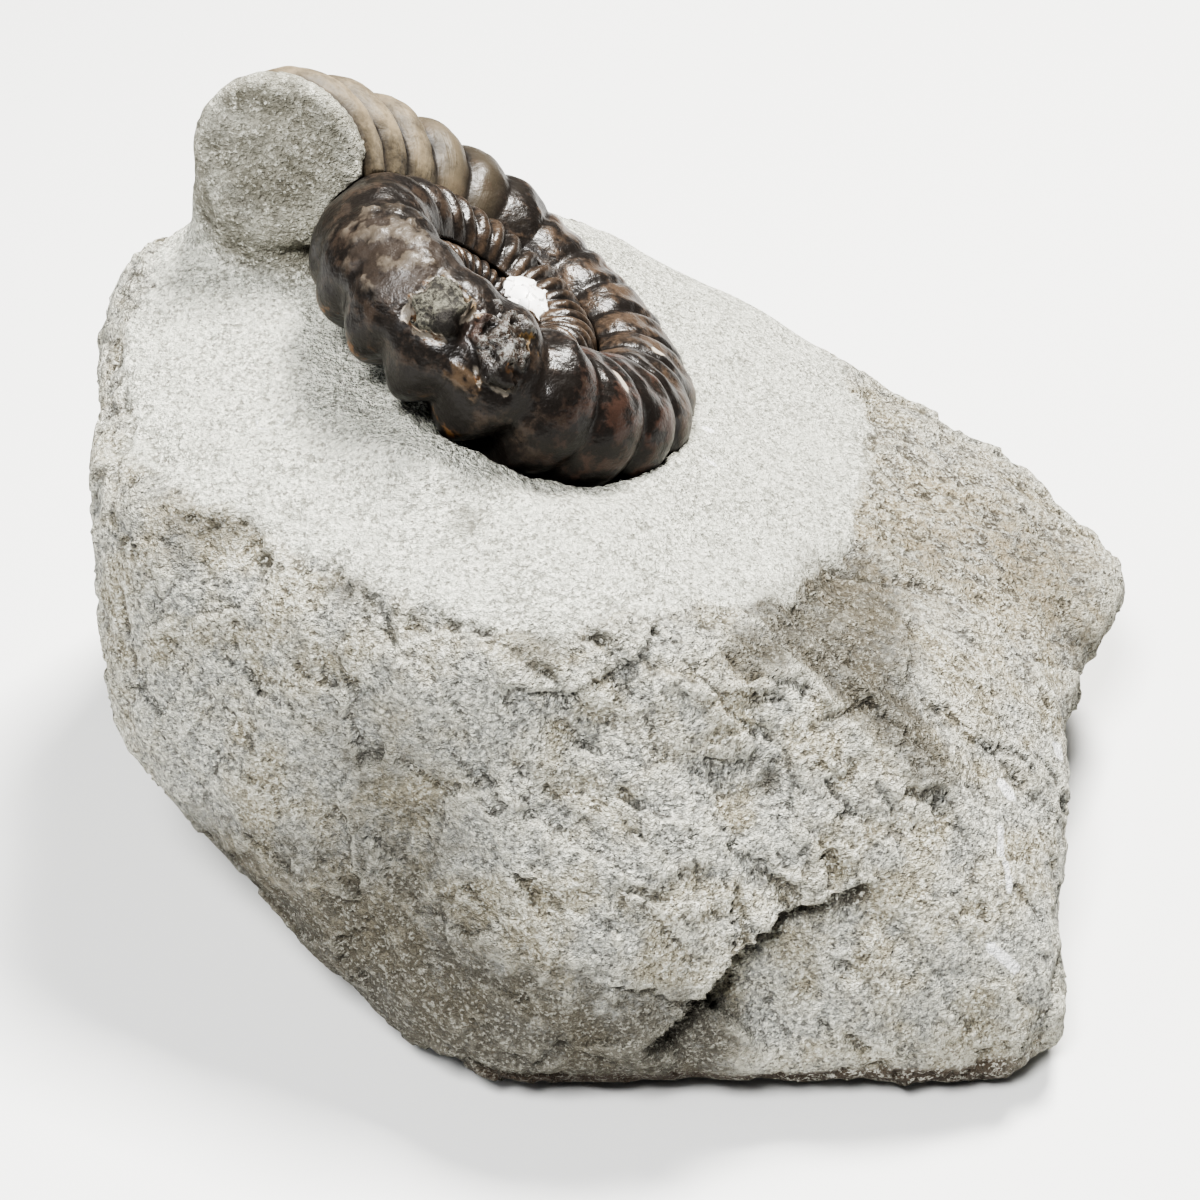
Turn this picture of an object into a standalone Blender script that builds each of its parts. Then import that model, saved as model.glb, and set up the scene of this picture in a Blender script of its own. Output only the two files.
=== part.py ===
"""A ribbed fossil ammonite that stands proud of half a limestone nodule.

Metres, +Z up. The nodule rests on its flat break at z = 0, and the origin is on that break, near its
middle. The front, where the stone is broken open, faces -Y. The coil leans down to the right (+X).
"""

import math

import bmesh
import bpy
import numpy as np
from mathutils import Matrix, Vector, noise

MM = 0.001

# The coil: a spiral that widens by WHORL_GROWTH in each turn. Turns are counted back from the broken mouth.
MOUTH_RADIUS = 29.8 * MM
WHORL_GROWTH = 1.9
SHELL_TURNS = 2.4
COIL_CENTRE = Vector((-10.7, 13.3, 44.4)) * MM
COIL_LEAN = math.radians(38.8)
COIL_LEAN_TOWARDS = math.radians(19.3)
MOUTH_TURN = math.radians(-39.7)

# The whorl's section, as shares at the mouth, half a turn back, and a turn back and beyond
SECTION_TURNS = (0.0, 0.5, 1.0)
HEIGHT_OF_RADIUS = (0.54, 0.57, 0.62)
WIDTH_OF_HEIGHT = (0.98, 1.08, 1.20)

# Ribs: the first step from the mouth back, and how fast the steps widen from rib to rib
RIB_STEP = math.radians(11.2)
RIB_WIDENING = 0.0356
RIB_RELIEF = 0.11
VENTER_TURNS = (0.0, 0.4, 0.6, 1.0)
VENTER_RELIEF = (1.0, 0.9, 0.3, 0.3)
STATIONS_PER_RIB = 5
STATIONS_PER_INNER_RIB = 4
TUBE_SIDES = 16

# Clearances between pieces that meet
GAP = 0.3 * MM
WHORL_GAP = 0.25 * MM
SEAT_CLEARANCE = 0.5 * MM

# The seat follows the shell from just outside the mouth in two overlapping lengths
SEAT_SPANS = ((-0.014, 1.12 * math.pi), (1.06 * math.pi, 2.15 * math.pi))
SEAT_STEP = math.radians(9)
SEAT_MIDDLE_SIDES = 28
SEAT_MIDDLE_DEPTH = 30 * MM

# The mud that fills the mouth: how far it stands out of the shell, how much slimmer it is, and its rounded
# end as shares of both
PLUG_START = math.radians(-1.1)
PLUG_OUT = math.radians(8.5)
PLUG_SLIMMER = 0.96
PLUG_END = ((0.7, 1.0), (0.93, 0.97), (1.0, 0.86))

# Where the mud runs down into the nodule, from a ring inside the plug
FOOT_RING = (-0.8 * PLUG_OUT, 0.97 * PLUG_SLIMMER)
FOOT_CENTRE = Vector((-30.5, 25.5, 43.5)) * MM
FOOT_RADIUS = 7.2 * MM
FOOT_SIDES = 20

# The nodule: the point that its faces are measured from, and each face's azimuth and tilt in degrees, where
# azimuth 0 is right, 90 is back and tilt 90 is up, with its distance from that point in millimetres
NODULE_HEART = Vector((-2.0, -1.0, 21.0)) * MM
NODULE_FACES = {
    "right_top": (10, 66, 17.3),
    "left_top": (235, 84, 24.2),
    "front_top": (262, 74, 23.2),
    "front_left": (246, 26, 30.0),
    "front_right": (278, 38, 28.0),
    "right_slope": (325, 50, 26.6),
    "ledge": (285, 30, 31.9),
    "left_skin": (184, 2, 41.7),
    "left_low": (217, -26, 36.8),
    "front_low": (266, -24, 42.3),
    "right_low": (276, -22, 44.8),
    "right_break": (351, -4, 45.0),
    "right_nose": (25, 10, 56.0),
    "back_right": (62, 10, 46.5),
    "back_left": (118, 12, 46.5),
    "back_corner": (152, 10, 53.0),
    "back_low": (95, -35, 43.0),
    "base": (0, -90, 22.5),
}
EDGE_SHARPNESS = 18
NODULE_GRID = 18
ROUGHNESS = 0.9 * MM
ROUGHNESS_PITCH = 15 * MM
ROUGHNESS_FADE = 0.9
ROUGHNESS_STEP = 2.1
ROUGHNESS_OCTAVES = 3
SMOOTHING = 0.35

# Swellings and hollows of the nodule: azimuth and tilt of the middle, reach in degrees, and height in
# millimetres
NODULE_LUMPS = {
    "under_near_whorl": (200, 62, 12, 3.5),
    "stain_hollow": (330, 20, 7, -1.8),
    "overhang_hollow": (297, 12, 5, -1.4),
    "lower_belly": (266, -6, 10, 1.8),
    "brown_hollow": (241, 8, 9, -1.2),
    "left_shoulder": (149, 28, 12, 3.0),
    "brow": (284, 0, 9, 2.2),
    "low_corner": (317, -17, 9, 3.2),
    "far_shoulder": (79, 16, 12, -1.0),
    "nose_tip": (15, -5, 9, 4.6),
    "break_notch": (350, -3, 6, -2.2),
}

# The top that was cleaned with fine abrasive lies a little below the rough stone round it
CLEANED_CENTRE = Vector((-8.0, 8.0)) * MM
CLEANED_HALF_LENGTH = 33.0 * MM
CLEANED_HALF_WIDTH = 31.0 * MM
CLEANED_DEPTH = 0.7 * MM
CLEANED_EDGE = (1.05, 0.95)

# The cleft where the front overhangs the ledge, from right to left: azimuth and tilt, then how deep it goes
# and how far below it the ledge starts to slope into it, in millimetres
CLEFT = (
    (309.5, -1.2, 0.4, 3.0),
    (303, -2.6, 1.6, 6.0),
    (296, -4.2, 2.8, 8.5),
    (289, -6.4, 3.4, 9.0),
    (283.5, -10, 3.4, 8.0),
    (280.5, -14.5, 0.6, 4.0),
)
CLEFT_UNDERCUT = 0.35
OVERSHOOT = 1.4

# The calcite that shows where an inner whorl is broken open, in the coil's own frame
CALCITE_CENTRE = Vector((3.6, 6.2, 3.2)) * MM
CALCITE_RADII = Vector((4.6, 3.6, 2.4)) * MM
CALCITE_KNOBS = 0.12
CALCITE_KNOB_PITCH = 0.43


def coil_matrix():
    """The coil's frame: X away from the mouth, Y to the far side, Z along the coil's axis."""
    lean = Matrix.Rotation(COIL_LEAN_TOWARDS, 4, "Z") @ Matrix.Rotation(COIL_LEAN, 4, "Y")
    return Matrix.Translation(COIL_CENTRE) @ lean @ Matrix.Rotation(MOUTH_TURN, 4, "Z")


def whorl(phase):
    """Outer radius, half height and half width of the whorl at this angle back from the mouth."""
    turns = phase / math.tau
    outer = MOUTH_RADIUS * WHORL_GROWTH ** -turns
    half_height = outer * float(np.interp(turns, SECTION_TURNS, HEIGHT_OF_RADIUS)) / 2
    half_width = half_height * float(np.interp(turns, SECTION_TURNS, WIDTH_OF_HEIGHT))
    return outer, half_height, half_width


def rib_number(phase):
    """How many ribs lie between the mouth and this angle."""
    return math.log(1 + RIB_WIDENING * max(phase, 0) / RIB_STEP) / RIB_WIDENING


def rib_angle(number):
    """The angle of the groove in front of this rib."""
    return RIB_STEP / RIB_WIDENING * (math.exp(RIB_WIDENING * number) - 1)


def rib_scale(phase, side):
    """The section's scale at this angle, and at this angle round the tube, where 0 is the venter."""
    crest = math.sqrt(abs(math.sin(math.pi * rib_number(phase))))
    on_venter = float(np.interp(phase / math.tau, VENTER_TURNS, VENTER_RELIEF))
    on_flank = math.sin(side) ** 2
    outward = min(1.0, max(0.0, 1.2 + 1.2 * math.cos(side)))
    relief = RIB_RELIEF * (on_venter + (1 - on_venter) * on_flank) * outward
    return 1 - relief * (1 - crest)


def section(phase, sides, ribbed=True, scale=1.0, clearance=0.0, gap=WHORL_GAP):
    """One ring of the tube in the coil's frame. Its inner side is pressed in by the whorl under it."""
    outer, half_height, half_width = whorl(phase)
    under_outer, under_height, under_width = whorl(phase + math.tau)
    under_middle = under_outer - under_height
    ring = []
    for step in range(sides):
        side = math.tau * step / sides
        size = scale * (rib_scale(phase, side) if ribbed else 1.0)
        radius = outer - half_height + math.cos(side) * (half_height * size + clearance)
        height = math.sin(side) * (half_width * size + clearance)
        if gap is not None and abs(height) < under_width:
            ridge = under_height * math.sqrt(1 - (height / under_width) ** 2)
            radius = max(radius, under_middle + ridge + gap)
        ring.append(Vector((-radius * math.cos(phase), radius * math.sin(phase), height)))
    return ring


def make_material(name, colour, roughness):
    material = bpy.data.materials.new(name)
    material.use_nodes = True
    shader = material.node_tree.nodes["Principled BSDF"]
    shader.inputs["Base Color"].default_value = (*colour, 1)
    shader.inputs["Roughness"].default_value = roughness
    shader.inputs["Metallic"].default_value = 0
    return material


def add_object(name, bm, material=None):
    bmesh.ops.recalc_face_normals(bm, faces=bm.faces)
    mesh = bpy.data.meshes.new(name)
    bm.to_mesh(mesh)
    bm.free()
    thing = bpy.data.objects.new(name, mesh)
    bpy.context.scene.collection.objects.link(thing)
    if material:
        mesh.materials.append(material)
    return thing


def tube(rings):
    """A closed tube through these rings, with flat ends, turned from the coil's frame into place."""
    bm = bmesh.new()
    place = coil_matrix()
    rows = [[bm.verts.new(place @ point) for point in ring] for ring in rings]
    sides = len(rings[0])
    for row, after in zip(rows, rows[1:]):
        for step in range(sides):
            beside = (step + 1) % sides
            bm.faces.new((row[step], row[beside], after[beside], after[step]))
    bm.faces.new(rows[0])
    bm.faces.new(rows[-1])
    bmesh.ops.triangulate(bm, faces=bm.faces)
    return bm


def add_helper(name, bm):
    """A cutter or an addition: it shapes another object and isn't part of the fossil."""
    helper = add_object(name, bm)
    helper.hide_render = True
    helper.display_type = "WIRE"
    return helper


def combine(thing, helper, operation):
    modifier = thing.modifiers.new(helper.name, "BOOLEAN")
    modifier.operation = operation
    modifier.solver = "EXACT"
    modifier.object = helper


def facing(azimuth, tilt):
    """The unit vector with this azimuth and tilt in degrees."""
    azimuth = math.radians(azimuth)
    tilt = math.radians(tilt)
    level = math.cos(tilt)
    return Vector((level * math.cos(azimuth), level * math.sin(azimuth), math.sin(tilt)))


def smooth_step(value):
    value = min(1.0, max(0.0, value))
    return value * value * (3 - 2 * value)


def nodule_reach(towards):
    """How far the nodule's rounded faces reach from its heart in this direction."""
    total = 0.0
    for azimuth, tilt, distance in NODULE_FACES.values():
        share = towards.dot(facing(azimuth, tilt)) / (distance * MM)
        if share > 0:
            total += share**EDGE_SHARPNESS
    return total ** (-1 / EDGE_SHARPNESS)


def lumps(towards):
    rise = 0.0
    for azimuth, tilt, reach, height in NODULE_LUMPS.values():
        away = math.degrees(towards.angle(facing(azimuth, tilt)))
        rise += height * MM * math.exp(-((away / reach) ** 2))
    return rise


def cleaned(place):
    """How far the cleaned top lies below the rough stone at this place."""
    x = (place.x - CLEANED_CENTRE.x) / CLEANED_HALF_LENGTH
    y = (place.y - CLEANED_CENTRE.y) / CLEANED_HALF_WIDTH
    outside, inside = CLEANED_EDGE
    if place.z < NODULE_HEART.z:
        return 0.0
    return CLEANED_DEPTH * smooth_step((outside - math.hypot(x, y)) / (outside - inside))


def add_nodule(material):
    bm = bmesh.new()
    bmesh.ops.create_cube(bm, size=2)
    bmesh.ops.subdivide_edges(bm, edges=bm.edges, cuts=NODULE_GRID - 1, use_grid_fill=True)
    for vertex in bm.verts:
        towards = Vector(math.tan(value * math.pi / 4) for value in vertex.co).normalized()
        reach = nodule_reach(towards) + lumps(towards)
        place = NODULE_HEART + towards * reach
        rough = noise.fractal(place / ROUGHNESS_PITCH, ROUGHNESS_FADE, ROUGHNESS_STEP, ROUGHNESS_OCTAVES)
        vertex.co = NODULE_HEART + towards * (reach + ROUGHNESS * rough - cleaned(place))
    bmesh.ops.smooth_vert(
        bm, verts=bm.verts, factor=SMOOTHING, use_axis_x=True, use_axis_y=True, use_axis_z=True
    )
    everything = list(bm.verts) + list(bm.edges) + list(bm.faces)
    cut = bmesh.ops.bisect_plane(
        bm, geom=everything, dist=1e-6, plane_co=(0, 0, 0), plane_no=(0, 0, 1), clear_inner=True
    )
    rim = [edge for edge in cut["geom_cut"] if isinstance(edge, bmesh.types.BMEdge)]
    bmesh.ops.contextual_create(bm, geom=rim)
    bmesh.ops.triangulate(bm, faces=bm.faces)
    return add_object("matrix_nodule", bm, material)


def spaced(first, last, step):
    """Angles from first to last, evenly spaced, about a step apart."""
    count = max(2, round(abs(last - first) / step) + 1)
    return [float(value) for value in np.linspace(first, last, count)]


def cut_seat(nodule):
    """The groove that the shell lies in, and the round space under the inner whorls."""
    for number, (first, last) in enumerate(SEAT_SPANS):
        rings = [
            section(phase, TUBE_SIDES, ribbed=False, clearance=SEAT_CLEARANCE, gap=None)
            for phase in spaced(first, last, SEAT_STEP)
        ]
        combine(nodule, add_helper(f"seat_{number}", tube(rings)), "DIFFERENCE")
    outer, _, half_width = whorl(1.1 * math.tau)
    bm = bmesh.new()
    bmesh.ops.create_cone(
        bm,
        cap_ends=True,
        segments=SEAT_MIDDLE_SIDES,
        radius1=outer,
        radius2=outer,
        depth=SEAT_MIDDLE_DEPTH,
    )
    lift = Matrix.Translation((0, 0, SEAT_MIDDLE_DEPTH / 2 - half_width - SEAT_CLEARANCE))
    bmesh.ops.transform(bm, matrix=coil_matrix() @ lift, verts=bm.verts)
    combine(nodule, add_helper("seat_middle", bm), "DIFFERENCE")


def on_nodule(towards):
    """The place on the nodule's swollen faces in this direction."""
    return NODULE_HEART + towards * (nodule_reach(towards) + lumps(towards))


def cut_cleft(nodule):
    """The cleft under the overhanging front: a wedge whose sharp edge lies inside the stone."""
    directions = [facing(azimuth, tilt) for azimuth, tilt, _, _ in CLEFT]
    bm = bmesh.new()
    rows = []
    for number, (_, _, depth, reach) in enumerate(CLEFT):
        towards = directions[number]
        before = directions[max(number - 1, 0)]
        after = directions[min(number + 1, len(CLEFT) - 1)]
        down = towards.cross(after - before).normalized()
        mouth = on_nodule(towards)
        apex = mouth - (towards + down * CLEFT_UNDERCUT) * depth * MM
        below = on_nodule((mouth + down * reach * MM - NODULE_HEART).normalized())
        corners = (apex, apex + (mouth - apex) * OVERSHOOT * 2, apex + (below - apex) * OVERSHOOT)
        rows.append([bm.verts.new(corner) for corner in corners])
    for row, after in zip(rows, rows[1:]):
        for step in range(3):
            beside = (step + 1) % 3
            bm.faces.new((row[step], row[beside], after[beside], after[step]))
    bm.faces.new(rows[0])
    bm.faces.new(rows[-1])
    bmesh.ops.triangulate(bm, faces=bm.faces)
    combine(nodule, add_helper("cleft", bm), "DIFFERENCE")


def add_foot(nodule):
    """The mud that runs from the mouth down into the nodule: a hull from the plug to the nodule's top."""
    bm = bmesh.new()
    place = coil_matrix()
    phase, scale = FOOT_RING
    for point in section(phase, TUBE_SIDES, ribbed=False, scale=scale, gap=None):
        bm.verts.new(place @ point)
    for step in range(FOOT_SIDES):
        turn = math.tau * step / FOOT_SIDES
        bm.verts.new(FOOT_CENTRE + Vector((math.cos(turn), math.sin(turn), 0)) * FOOT_RADIUS)
    bmesh.ops.convex_hull(bm, input=bm.verts)
    combine(nodule, add_helper("mouth_foot", bm), "UNION")


def add_plug(nodule):
    """The mud that filled the mouth, broken off a little way out of the shell."""
    shape = [(PLUG_START, 1.0)] + [(-share * PLUG_OUT, scale) for share, scale in PLUG_END]
    rings = [
        section(phase, TUBE_SIDES, ribbed=False, scale=PLUG_SLIMMER * scale, gap=SEAT_CLEARANCE)
        for phase, scale in shape
    ]
    combine(nodule, add_helper("mouth_plug", tube(rings)), "UNION")


def add_shell(material):
    outer_ribs = math.ceil(rib_number(math.tau))
    all_ribs = rib_number(SHELL_TURNS * math.tau)
    outer = np.arange(0, outer_ribs, 1 / STATIONS_PER_RIB)
    inner = np.arange(outer_ribs, all_ribs, 1 / STATIONS_PER_INNER_RIB)
    rings = [section(rib_angle(number), TUBE_SIDES) for number in (*outer, *inner)]
    return add_object("ammonite_shell", tube(rings), material)


def calcite_lump(radii):
    """A lump of grown-together crystals: a coarse ball with each corner pushed in or out a little."""
    bm = bmesh.new()
    bmesh.ops.create_icosphere(bm, subdivisions=2, radius=1)
    for vertex in bm.verts:
        push = 1 + CALCITE_KNOBS * noise.noise(vertex.co / CALCITE_KNOB_PITCH)
        vertex.co = Vector(a * b for a, b in zip(vertex.co * push, radii))
    bmesh.ops.transform(bm, matrix=coil_matrix() @ Matrix.Translation(CALCITE_CENTRE), verts=bm.verts)
    return bm


def main():
    for thing in list(bpy.data.objects):
        bpy.data.objects.remove(thing, do_unlink=True)

    stone = make_material("grey limestone", (0.40, 0.385, 0.35), 0.9)
    test = make_material("brown-black shell", (0.05, 0.04, 0.035), 0.3)
    calcite = make_material("white calcite", (0.86, 0.85, 0.81), 0.35)

    nodule = add_nodule(stone)
    cut_cleft(nodule)
    add_foot(nodule)
    cut_seat(nodule)
    add_plug(nodule)

    shell = add_shell(test)
    wider = CALCITE_RADII + Vector((GAP, GAP, GAP))
    combine(shell, add_helper("calcite_hollow", calcite_lump(wider * 1.04)), "DIFFERENCE")

    add_object("calcite_core", calcite_lump(CALCITE_RADII), calcite)


main()
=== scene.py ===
"""A ribbed fossil ammonite on half a limestone nodule, dressed for a studio picture.

Metres, +Z up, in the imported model's frame: the stone's broken front faces -Y and the coil leans down to +X.
"""

import math
from typing import NamedTuple

import bmesh
import bpy
import numpy as np
from mathutils import Matrix, Vector, noise
from mathutils.bvhtree import BVHTree


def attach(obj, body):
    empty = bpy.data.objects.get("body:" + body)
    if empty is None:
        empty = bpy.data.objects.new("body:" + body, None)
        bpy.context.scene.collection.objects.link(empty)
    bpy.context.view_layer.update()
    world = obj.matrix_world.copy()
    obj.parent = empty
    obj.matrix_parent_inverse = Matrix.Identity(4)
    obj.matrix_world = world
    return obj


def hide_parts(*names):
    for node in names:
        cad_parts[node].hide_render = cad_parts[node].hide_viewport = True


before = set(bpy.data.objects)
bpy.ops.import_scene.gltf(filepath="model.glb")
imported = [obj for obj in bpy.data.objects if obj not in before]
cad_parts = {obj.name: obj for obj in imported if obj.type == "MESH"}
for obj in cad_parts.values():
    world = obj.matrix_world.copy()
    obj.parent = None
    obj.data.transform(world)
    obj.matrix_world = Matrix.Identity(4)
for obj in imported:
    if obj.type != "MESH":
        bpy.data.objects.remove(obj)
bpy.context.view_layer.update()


# Ammonite shell
# The coiled shell, whose test has turned to glossy brown-black mineral. It widens evenly along a spiral and
# is ribbed all round, and the near whorl's flank has broken and worn patches that hold stone and crystals.

MM = 0.001


class Field:
    """A number or a vector that varies over a piece, made by the nodes of one tree."""

    def __init__(self, tree, socket):
        self.tree = tree
        self.socket = socket

    def made_by(self, kind, operation, values, output=0):
        node = self.tree.nodes.new(kind)
        node.operation = operation
        for socket, value in zip(node.inputs, values):
            connect(self.tree, socket, value)
        return Field(self.tree, node.outputs[output])

    def turned(self, operation, *others):
        """This number put through one of the Math node's functions, such as SINE or MAXIMUM."""
        return self.made_by("ShaderNodeMath", operation, (self, *others))

    def __add__(self, other):
        return self.turned("ADD", other)

    __radd__ = __add__

    def __sub__(self, other):
        return self.turned("SUBTRACT", other)

    def __rsub__(self, other):
        return self.made_by("ShaderNodeMath", "SUBTRACT", (other, self))

    def __mul__(self, other):
        return self.turned("MULTIPLY", other)

    __rmul__ = __mul__

    def __truediv__(self, other):
        return self.turned("DIVIDE", other)

    def __rtruediv__(self, other):
        return self.made_by("ShaderNodeMath", "DIVIDE", (other, self))

    def __pow__(self, other):
        return self.turned("POWER", other)


def connect(tree, socket, value):
    if isinstance(value, Field):
        tree.links.new(value.socket, socket)
    else:
        socket.default_value = value


def step_between(value, low, high):
    """0 where the value is at low, 1 where it is at high, and smooth between them."""
    node = value.tree.nodes.new("ShaderNodeMapRange")
    node.interpolation_type = "SMOOTHSTEP"
    for socket, given in zip(node.inputs, (value, low, high, 0.0, 1.0)):
        connect(value.tree, socket, given)
    return Field(value.tree, node.outputs[0])


def window(value, low, high, soft):
    """1 between low and high, falling to 0 over the soft distance outside them."""
    return step_between(value, low - soft, low) * step_between(value, high + soft, high)


def bell(value, middle, reach):
    """1 at the middle, falling to about a third one reach away."""
    away = (value - middle) / reach
    return (away * away * -1).turned("EXPONENT")


def clouds(place, pitch, detail=3.0, roughness=0.55, output="Fac"):
    """Soft noise from 0 to 1, whose lumps are about one pitch apart."""
    node = place.tree.nodes.new("ShaderNodeTexNoise")
    connect(place.tree, node.inputs["Vector"], place)
    connect(place.tree, node.inputs["Scale"], 1 / pitch)
    connect(place.tree, node.inputs["Detail"], detail)
    connect(place.tree, node.inputs["Roughness"], roughness)
    return Field(place.tree, node.outputs[output])


def plus(vector, other):
    return vector.made_by("ShaderNodeVectorMath", "ADD", (vector, other))


def measured(vector, operation, other):
    """One number worked out from two vectors, such as their DISTANCE or DOT_PRODUCT."""
    return vector.made_by("ShaderNodeVectorMath", operation, (vector, other), output=1)


def scaled(vector, factor):
    """The vector times the factor, where at least one of them varies."""
    tree = factor.tree if isinstance(factor, Field) else vector.tree
    node = tree.nodes.new("ShaderNodeVectorMath")
    node.operation = "SCALE"
    connect(tree, node.inputs[0], vector)
    connect(tree, node.inputs["Scale"], factor)
    return Field(tree, node.outputs[0])


def any_way(colour):
    """A random colour, whose numbers run from 0 to 1, as a vector that points any way."""
    return plus(colour, (-0.5, -0.5, -0.5))


def warped(place, pitch, amount):
    """The place shifted about by soft noise, which makes a pattern's outlines wander."""
    return plus(place, scaled(any_way(clouds(place, pitch, 3.0, 0.6, "Color")), amount))


def voronoi(place, pitch):
    """The node that splits space into cells about one pitch wide."""
    node = place.tree.nodes.new("ShaderNodeTexVoronoi")
    connect(place.tree, node.inputs["Vector"], place)
    connect(place.tree, node.inputs["Scale"], 1 / pitch)
    return node


def chips(place, pitch, slope):
    """Flat facets about one pitch wide, each leaning its own way by up to the slope, as on broken stone."""
    cells = voronoi(place, pitch)
    middle = Field(place.tree, cells.outputs["Position"])
    away = place.made_by("ShaderNodeVectorMath", "SUBTRACT", (place, middle))
    return measured(away, "DOT_PRODUCT", any_way(Field(place.tree, cells.outputs["Color"]))) * (2 * slope)


def combined(x, y, z=0.0):
    """A vector made of three numbers."""
    node = x.tree.nodes.new("ShaderNodeCombineXYZ")
    for socket, value in zip(node.inputs, (x, y, z)):
        connect(x.tree, socket, value)
    return Field(x.tree, node.outputs[0])


def begin_geometry(name, sizes):
    """A new geometry tree with named inputs for these sizes, and the fields that read them."""
    tree = bpy.data.node_groups.new(name, "GeometryNodeTree")
    tree.interface.new_socket("Geometry", in_out="INPUT", socket_type="NodeSocketGeometry")
    for label in sizes:
        tree.interface.new_socket(label, in_out="INPUT", socket_type="NodeSocketFloat")
    tree.interface.new_socket("Geometry", in_out="OUTPUT", socket_type="NodeSocketGeometry")
    given = tree.nodes.new("NodeGroupInput")
    fields = {label: Field(tree, given.outputs[label]) for label in sizes}
    return tree, Field(tree, given.outputs["Geometry"]), fields


def geometry_step(shape, kind, **values):
    """The shape put through one geometry node, whose inputs are named with _ for each space."""
    node = shape.tree.nodes.new(kind)
    shape.tree.links.new(shape.socket, node.inputs[0])
    for label, value in values.items():
        connect(shape.tree, node.inputs[label.replace("_", " ")], value)
    return Field(shape.tree, node.outputs[0])


def kept(shape, **values):
    """The shape with each of these values stored on its points under its name."""
    for label, value in values.items():
        shape = geometry_step(shape, "GeometryNodeStoreNamedAttribute", Name=label, Value=value)
    return shape


def kept_value(tree, name):
    node = tree.nodes.new("GeometryNodeInputNamedAttribute")
    node.inputs["Name"].default_value = name
    return Field(tree, node.outputs[0])


def here(tree):
    return Field(tree, tree.nodes.new("GeometryNodeInputPosition").outputs[0])


def pushed_out(shape, distance):
    """The shape with its points moved along their normals."""
    normal = Field(shape.tree, shape.tree.nodes.new("GeometryNodeInputNormal").outputs[0])
    return geometry_step(shape, "GeometryNodeSetPosition", Offset=scaled(normal, distance))


def run_geometry(thing, shape, sizes, material):
    """Ends the tree with realized instances and a material, sets its sizes and gives its plain mesh."""
    tree = shape.tree
    shape = geometry_step(shape, "GeometryNodeRealizeInstances")
    shape = geometry_step(shape, "GeometryNodeSetMaterial", Material=material)
    result = tree.nodes.new("NodeGroupOutput")
    tree.links.new(shape.socket, result.inputs[0])
    modifier = thing.modifiers.new(tree.name, "NODES")
    modifier.node_group = tree
    for item in tree.interface.items_tree:
        if item.in_out == "INPUT" and item.name in sizes:
            modifier[item.identifier] = sizes[item.name]
    return plain_mesh(thing)


def plain_mesh(thing):
    """Replaces a piece's mesh by what its modifiers make of it, and takes them off."""
    graph = bpy.context.evaluated_depsgraph_get()
    made = bpy.data.meshes.new_from_object(thing.evaluated_get(graph))
    thing.modifiers.clear()
    thing.data = made
    return made


def place_in_scene(name, mesh):
    thing = bpy.data.objects.new(name, mesh)
    bpy.context.scene.collection.objects.link(thing)
    return thing


def facing_out(mesh):
    """Turns every face outwards and shades them smooth."""
    bm = bmesh.new()
    bm.from_mesh(mesh)
    bmesh.ops.recalc_face_normals(bm, faces=bm.faces)
    bm.to_mesh(mesh)
    bm.free()
    mesh.shade_smooth()


def vectors_of(mesh, name="co"):
    values = np.empty(len(mesh.vertices) * 3, np.float32)
    mesh.vertices.foreach_get(name, values)
    return values.reshape(-1, 3).astype(float)


def store(mesh, name, values):
    """Keeps one number for each point of the mesh."""
    attribute = mesh.attributes.get(name) or mesh.attributes.new(name, "FLOAT", "POINT")
    attribute.data.foreach_set("value", np.asarray(values, np.float32))


def drawn_together(mesh, places, share, rounds):
    """The places, each drawn towards the middle of its neighbours by its share, round after round."""
    edges = np.empty(len(mesh.edges) * 2, np.int32)
    mesh.edges.foreach_get("vertices", edges)
    edges = edges.reshape(-1, 2)
    ends = np.concatenate([edges, edges[:, ::-1]])
    number = len(places)
    count = np.bincount(ends[:, 0], minlength=number)[:, None]
    places = places.copy()
    for _ in range(rounds):
        columns = [np.bincount(ends[:, 0], places[ends[:, 1], axis], number) for axis in range(3)]
        places += share * (np.stack(columns, axis=1) / count - places)
    return places


NEARBY_ROUNDS = 6
WIDER_ROUNDS = 50


def store_hollows(mesh):
    """Keeps how far each point lies below its surroundings, in millimetres: nearby ones, then wider ones."""
    places = vectors_of(mesh)
    normals = vectors_of(mesh, "normal")
    softer = drawn_together(mesh, places, 0.5, NEARBY_ROUNDS)
    softest = drawn_together(mesh, softer, 0.5, WIDER_ROUNDS)
    store(mesh, "crevice", ((softer - places) * normals).sum(axis=1) / MM)
    store(mesh, "hollow", ((softest - places) * normals).sum(axis=1) / MM)


def new_material(name):
    material = bpy.data.materials.new(name)
    material.use_nodes = True
    return material, material.node_tree, material.node_tree.nodes["Principled BSDF"]


def attribute_field(tree, name):
    node = tree.nodes.new("ShaderNodeAttribute")
    node.attribute_name = name
    return Field(tree, node.outputs["Fac"])


def object_place(tree):
    return Field(tree, tree.nodes.new("ShaderNodeTexCoord").outputs["Object"])


def blend(share, low, high):
    """The low colour where the share is 0 and the high one where it is 1."""
    node = share.tree.nodes.new("ShaderNodeMix")
    node.data_type = "RGBA"
    connect(share.tree, node.inputs[0], share)
    connect(share.tree, node.inputs[6], low if isinstance(low, Field) else (*low, 1))
    connect(share.tree, node.inputs[7], high if isinstance(high, Field) else (*high, 1))
    return Field(share.tree, node.outputs[2])


def add_bump(shader, height, distance):
    """Fine relief that the mesh doesn't carry, where a height of 1 stands out by this distance."""
    tree = height.tree
    bump = tree.nodes.new("ShaderNodeBump")
    bump.inputs["Distance"].default_value = distance
    connect(tree, bump.inputs["Height"], height)
    tree.links.new(bump.outputs[0], shader.inputs["Normal"])


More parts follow.
